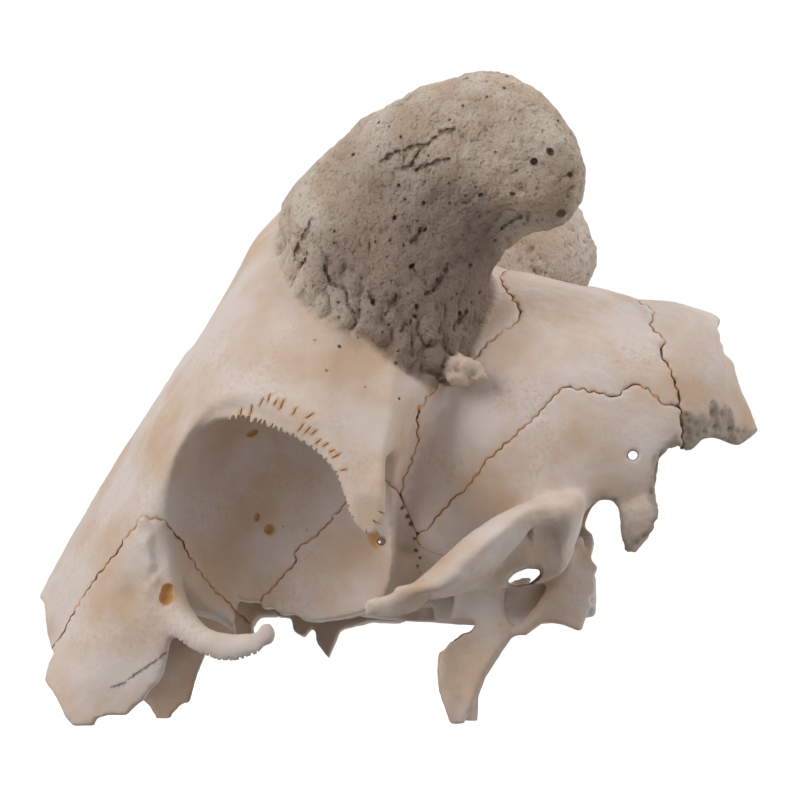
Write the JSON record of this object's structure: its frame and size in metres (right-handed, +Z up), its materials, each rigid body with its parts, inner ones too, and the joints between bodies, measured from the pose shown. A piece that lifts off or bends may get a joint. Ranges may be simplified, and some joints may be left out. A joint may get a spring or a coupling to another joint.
{
  "type": "goat skull",
  "caption": "Back part of a small goat skull with both orbits, stubby horn cores, open braincase and broken lower edges, parted at its sutures.",
  "frame": {"origin": "under the middle of the bounding box, on the plane that the skull stands on", "axes": "+X to the back of the head, -Y to the animal's left, +Z up; the skull is rolled 5.5 degrees about X as it stands on its broken tips"},
  "size_m": [0.1346, 0.1074, 0.1184],
  "materials": {
    "bone": "dry matte cleaned bone"
  },
  "bodies": {
    "root": {"left_frontal": "bone", "right_frontal": "bone", "left_lacrimal": "bone", "right_lacrimal": "bone", "parietal": "bone", "occipital": "bone", "left_temporal": "bone", "right_temporal": "bone", "sphenoid": "bone"}
  },
  "joints": []
}
